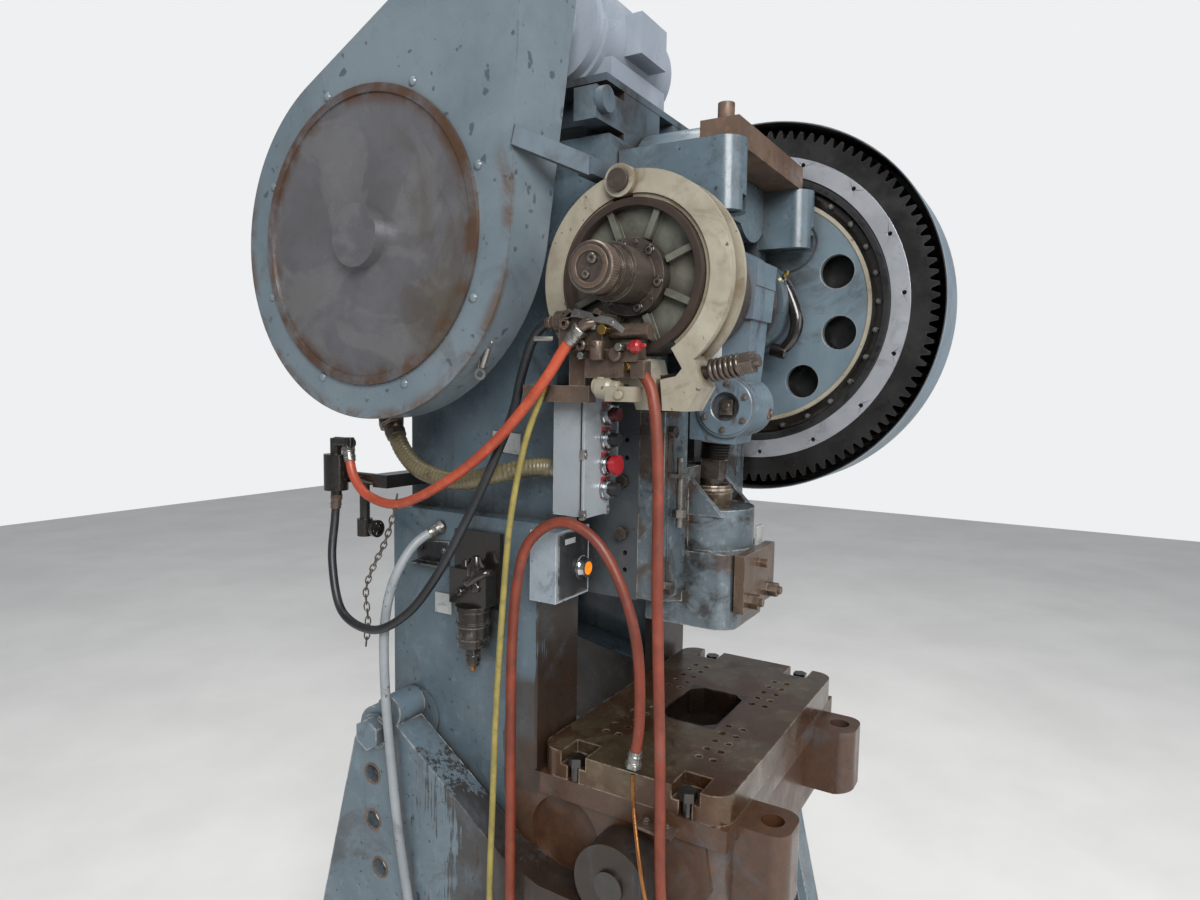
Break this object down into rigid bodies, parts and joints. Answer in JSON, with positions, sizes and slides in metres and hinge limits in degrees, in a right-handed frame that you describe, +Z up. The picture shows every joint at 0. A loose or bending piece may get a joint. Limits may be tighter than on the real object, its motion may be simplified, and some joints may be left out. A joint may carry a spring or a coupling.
{
  "type": "stamping press",
  "caption": "Geared open-back inclinable stamping press with flywheel drive, air clutch, band brake, slide and bolster on two inclining legs.",
  "frame": {"origin": "middle of the footprint on the floor", "axes": "+Z up, the open front of the press faces -Y, its flywheel side is -X"},
  "size_m": [1.002, 1.343, 2.415],
  "materials": {
    "frame_paint": "satin",
    "oily_casting": "satin",
    "machined_steel": "satin",
    "bronze": "satin",
    "brake_paint": "satin",
    "black_steel": "satin",
    "door_metal": "satin",
    "cast_iron": "matte",
    "belt_rubber": "matte",
    "box_grey": "satin",
    "bright": "gloss",
    "ring_steel": "satin",
    "red_rubber": "satin",
    "black_rubber": "satin",
    "yellow_rubber": "matte",
    "conduit_skin": "satin",
    "copper": "satin",
    "black_plastic": "gloss",
    "red_plastic": "gloss",
    "amber_plastic": "gloss"
  },
  "bodies": {
    "stand": {"left_leg": "frame_paint", "right_leg": "frame_paint", "tie_rods": "machined_steel", "incline_bolts": "oily_casting"},
    "frame": {"press_frame": "frame_paint", "trunnion_pins": "oily_casting", "bolster_plate": "oily_casting", "hold_down_bolts": "machined_steel", "gibs": "oily_casting", "gib_bolts": "machined_steel", "bronze_bushes": "bronze", "brake_front_shoe": "brake_paint", "brake_rear_shoe": "brake_paint", "brake_studs": "machined_steel", "brake_strap": "black_steel", "flywheel_guard": "frame_paint", "guard_door": "door_metal", "guard_screws": "machined_steel", "gear_guard": "black_steel", "motor_base": "frame_paint", "motor_body": "frame_paint", "v_belts": "belt_rubber", "control_box": "box_grey", "operator_rings": "bright", "small_box": "box_grey", "valve_block": "black_steel", "lubricator": "black_steel", "air_manifold": "black_steel", "knockout_gear": "machined_steel", "cross_bar": "oily_casting", "drop_hose": "red_rubber", "loop_hose": "red_rubber", "orange_hose": "red_rubber", "black_hose": "black_rubber", "yellow_hose": "yellow_rubber", "grey_conduit": "conduit_skin", "olive_conduit": "conduit_skin", "copper_tube": "copper"},
    "crank": {"crankshaft": "oily_casting", "brake_drum": "oily_casting", "drum_hub": "oily_casting", "clutch_spider": "frame_paint", "clutch_bolts": "machined_steel"},
    "gear": {"bull_gear": "black_steel", "clutch_ring": "ring_steel", "clutch_tube": "belt_rubber"},
    "backshaft_group": {"flywheel": "cast_iron", "backshaft": "machined_steel"},
    "motor_shaft": {"motor_sheave": "cast_iron"},
    "connection": {"connection_rod": "frame_paint", "connection_cap": "frame_paint", "adjusting_screw": "machined_steel"},
    "slide_group": {"slide": "oily_casting", "shank_clamp": "oily_casting"},
    "valve_hand": {"valve_wheel": "black_plastic"},
    "top_button_body": {"top_button": "red_plastic"},
    "second_button_body": {"second_button": "black_plastic"},
    "stop_button_body": {"stop_button": "red_plastic"},
    "fourth_button_body": {"fourth_button": "black_plastic"},
    "side_button_body": {"side_button": "amber_plastic"}
  },
  "joints": [
    {"name": "frame_incline", "type": "hinge", "parent": "stand", "child": "frame", "pos_m": [0.039, -0.2405, 0.697], "axis": [-1, 0, 0], "range_deg": [0, 20], "deforming": ["yellow_hose", "loop_hose", "grey_conduit"]},
    {"name": "crank_turn", "type": "hinge", "parent": "frame", "child": "crank", "pos_m": [0.039, -0.2335, 1.789], "axis": [1, 0, 0], "range_deg": [-58, 122]},
    {"name": "connection_swing", "type": "hinge", "parent": "crank", "child": "connection", "pos_m": [0.039, -0.27166, 1.81285], "axis": [1, 0, 0], "range_deg": [-122, 58]},
    {"name": "slide_stroke", "type": "slide", "parent": "frame", "child": "slide_group", "axis": [0, 0, 1], "range_m": [-0.06101, 0.02901]},
    {"name": "gear_spin", "type": "hinge", "parent": "frame", "child": "gear", "pos_m": [0.339, -0.2335, 1.789], "axis": [1, 0, 0], "continuous": true},
    {"name": "backshaft_spin", "type": "hinge", "parent": "frame", "child": "backshaft_group", "pos_m": [0.039, 0.28307, 1.87693], "axis": [1, 0, 0], "continuous": true},
    {"name": "motor_spin", "type": "hinge", "parent": "frame", "child": "motor_shaft", "pos_m": [-0.361, 0.0115, 2.298], "axis": [1, 0, 0], "continuous": true},
    {"name": "valve_turn", "type": "hinge", "parent": "frame", "child": "valve_hand", "pos_m": [-0.365, 0.3715, 1.281], "axis": [0, 1, 0], "range_deg": [0, 720]},
    {"name": "top_button_press", "type": "slide", "parent": "frame", "child": "top_button_body", "axis": [0, 1, 0], "range_m": [0, 0.004], "stiffness_N_per_m": 900},
    {"name": "second_button_press", "type": "slide", "parent": "frame", "child": "second_button_body", "axis": [0, 1, 0], "range_m": [0, 0.004], "stiffness_N_per_m": 900},
    {"name": "stop_button_press", "type": "slide", "parent": "frame", "child": "stop_button_body", "axis": [0, 1, 0], "range_m": [0, 0.004], "stiffness_N_per_m": 900},
    {"name": "fourth_button_press", "type": "slide", "parent": "frame", "child": "fourth_button_body", "axis": [0, 1, 0], "range_m": [0, 0.004], "stiffness_N_per_m": 900},
    {"name": "side_button_press", "type": "slide", "parent": "frame", "child": "side_button_body", "axis": [0, 1, 0], "range_m": [0, 0.004], "stiffness_N_per_m": 900}
  ],
  "couplings": [
    {"joint": "connection_swing", "follows": "crank_turn", "ratio": -1},
    {"joint": "slide_stroke", "follows": "crank_turn", "m_per_rad": -0.028648},
    {"joint": "backshaft_spin", "follows": "gear_spin", "ratio": -3.6786},
    {"joint": "motor_spin", "follows": "gear_spin", "ratio": -13.795}
  ]
}
